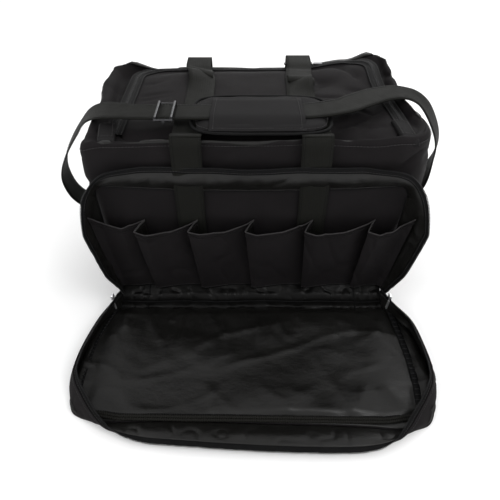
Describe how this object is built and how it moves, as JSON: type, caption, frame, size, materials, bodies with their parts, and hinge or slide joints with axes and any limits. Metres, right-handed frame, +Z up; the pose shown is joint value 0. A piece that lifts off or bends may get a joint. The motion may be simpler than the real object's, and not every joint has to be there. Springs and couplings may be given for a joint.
{
  "type": "soft duffel gear bag",
  "caption": "Soft rectangular gear bag with a zipped lid, a drop-down front organiser flap, pleated pockets, webbing handles and a padded shoulder strap.",
  "frame": {"origin": "centre of the bag's base, on the floor", "axes": "+X along the bag's length to its right, -Y to the front organiser, +Z up"},
  "size_m": [0.585, 0.5093, 0.306],
  "materials": {
    "canvas": "matt woven polyester canvas, near-black",
    "lining": "glossy coated nylon, black",
    "webbing": "ribbed polypropylene webbing, olive-black",
    "zip_tape": "black woven zip tape and coil",
    "board": "stiff polyethylene sheet",
    "dark_metal": "dark nickel plate",
    "slider_metal": "bright nickel plate"
  },
  "bodies": {
    "shell": {"base_panel": "canvas", "base_board": "board", "front_panel": "canvas", "rear_panel": "canvas", "end_panel_left": "canvas", "end_panel_right": "canvas", "top_border": "canvas", "lid_zip_tape": "zip_tape", "zip_end_tabs": "canvas", "pocket_1": "canvas", "pocket_2": "canvas", "pocket_3": "canvas", "pocket_4": "canvas", "pocket_5": "canvas", "pocket_6": "canvas", "rim_left": "canvas", "rim_right": "canvas", "bottom_gusset": "lining", "rim_zip_tape": "zip_tape", "front_webbing": "webbing", "rear_webbing": "webbing", "dring_loops": "webbing"},
    "top_rim": {"rim_top": "lining", "rim_top_tape": "zip_tape"},
    "flap": {"flap_panel": "canvas", "flap_rim_wall": "lining", "flap_lining": "lining", "flap_binding": "zip_tape", "flap_zip_tape": "zip_tape"},
    "lid": {"lid_panel": "canvas", "lid_lining": "lining", "lid_zip_edge": "zip_tape"},
    "front_grip": {"front_handle": "webbing"},
    "rear_grip": {"rear_handle": "webbing"},
    "strap": {"strap_left": "webbing", "strap_right": "webbing", "shoulder_pad": "canvas", "pad_sleeve": "canvas", "snap_hook_left": "dark_metal", "snap_hook_right": "dark_metal"},
    "strap_adjuster": {"triglide": "dark_metal"},
    "ring_left": {"dring_left": "dark_metal"},
    "ring_right": {"dring_right": "dark_metal"},
    "hook_gate_left": {"gate_left": "dark_metal"},
    "hook_gate_right": {"gate_right": "dark_metal"},
    "lid_zip_left": {"lid_slider_left": "slider_metal"},
    "lid_zip_right": {"lid_slider_right": "slider_metal"},
    "lid_tab_left": {"lid_pull_left": "slider_metal"},
    "lid_tab_right": {"lid_pull_right": "slider_metal"},
    "pocket_zip_left": {"pocket_slider_left": "slider_metal"},
    "pocket_zip_right": {"pocket_slider_right": "slider_metal"},
    "pocket_tab_left": {"pocket_pull_left": "slider_metal"},
    "pocket_tab_right": {"pocket_pull_right": "slider_metal"},
    "flap_far_rim": {"flap_lip": "canvas", "flap_lip_tape": "zip_tape"}
  },
  "joints": [
    {"name": "flap_close", "type": "hinge", "parent": "shell", "child": "flap", "pos_m": [0, -0.162, 0.03], "axis": [-1, 0, 0], "range_deg": [0, 90]},
    {"name": "top_rim_fold", "type": "hinge", "parent": "shell", "child": "top_rim", "pos_m": [0, -0.131, 0.216], "axis": [1, 0, 0], "range_deg": [0, 90]},
    {"name": "far_rim_fold", "type": "hinge", "parent": "flap", "child": "flap_far_rim", "pos_m": [0, -0.3515, 0.003], "axis": [-1, 0, 0], "range_deg": [0, 72]},
    {"name": "lid_open", "type": "hinge", "parent": "shell", "child": "lid", "pos_m": [0, -0.123, 0.282], "axis": [1, 0, 0], "range_deg": [0, 95], "deforming": ["front_handle", "rear_handle", "strap_left", "strap_right", "shoulder_pad", "pad_sleeve", "triglide"]},
    {"name": "front_handle_swing", "type": "hinge", "parent": "shell", "child": "front_grip", "pos_m": [0, -0.1285, 0.2878], "axis": [1, 0, 0], "range_deg": [0, 220]},
    {"name": "rear_handle_swing", "type": "hinge", "parent": "shell", "child": "rear_grip", "pos_m": [0, 0.1285, 0.2848], "axis": [-1, 0, 0], "range_deg": [0, 250]},
    {"name": "strap_swing", "type": "hinge", "parent": "shell", "child": "strap", "pos_m": [0, 0, 0.151], "axis": [-1, 0, 0], "range_deg": [0, 28]},
    {"name": "adjuster_slide", "type": "slide", "parent": "strap", "child": "strap_adjuster", "axis": [-1, 0, 0], "range_m": [0, 0.02]},
    {"name": "ring_left_rock", "type": "hinge", "parent": "shell", "child": "ring_left", "pos_m": [-0.223, 0, 0.172], "axis": [0, 1, 0], "range_deg": [-5, 5]},
    {"name": "ring_right_rock", "type": "hinge", "parent": "shell", "child": "ring_right", "pos_m": [0.223, 0, 0.172], "axis": [0, 1, 0], "range_deg": [-5, 5]},
    {"name": "gate_left_open", "type": "hinge", "parent": "strap", "child": "hook_gate_left", "pos_m": [-0.2322, 0, 0.146], "axis": [0, 1, 0], "range_deg": [0, 20], "stiffness_Nm_per_rad": 0.02},
    {"name": "gate_right_open", "type": "hinge", "parent": "strap", "child": "hook_gate_right", "pos_m": [0.2322, 0, 0.146], "axis": [0, -1, 0], "range_deg": [0, 20], "stiffness_Nm_per_rad": 0.02},
    {"name": "lid_zip_left_slide", "type": "slide", "parent": "shell", "child": "lid_zip_left", "axis": [-1, 0, 0], "range_m": [0, 0.2]},
    {"name": "lid_zip_right_slide", "type": "slide", "parent": "shell", "child": "lid_zip_right", "axis": [1, 0, 0], "range_m": [0, 0.04]},
    {"name": "lid_tab_left_lift", "type": "hinge", "parent": "lid_zip_left", "child": "lid_tab_left", "pos_m": [0.0656, 0.115, 0.2829], "axis": [0, 1, 0], "range_deg": [0, 90]},
    {"name": "lid_tab_right_lift", "type": "hinge", "parent": "lid_zip_right", "child": "lid_tab_right", "pos_m": [0.0984, 0.115, 0.2829], "axis": [0, -1, 0], "range_deg": [0, 90]},
    {"name": "pocket_zip_left_slide", "type": "slide", "parent": "shell", "child": "pocket_zip_left", "axis": [0, 0, 1], "range_m": [0, 0.165]},
    {"name": "pocket_zip_right_slide", "type": "slide", "parent": "shell", "child": "pocket_zip_right", "axis": [0, 0, 1], "range_m": [0, 0.165]},
    {"name": "pocket_tab_left_lift", "type": "hinge", "parent": "pocket_zip_left", "child": "pocket_tab_left", "pos_m": [-0.2115, -0.162, 0.034], "axis": [0, 1, 0], "range_deg": [0, 90]},
    {"name": "pocket_tab_right_lift", "type": "hinge", "parent": "pocket_zip_right", "child": "pocket_tab_right", "pos_m": [0.2115, -0.162, 0.034], "axis": [0, -1, 0], "range_deg": [0, 90]}
  ],
  "couplings": [
    {"joint": "top_rim_fold", "follows": "flap_close", "ratio": 1},
    {"joint": "far_rim_fold", "follows": "flap_close", "ratio": 0.8}
  ]
}
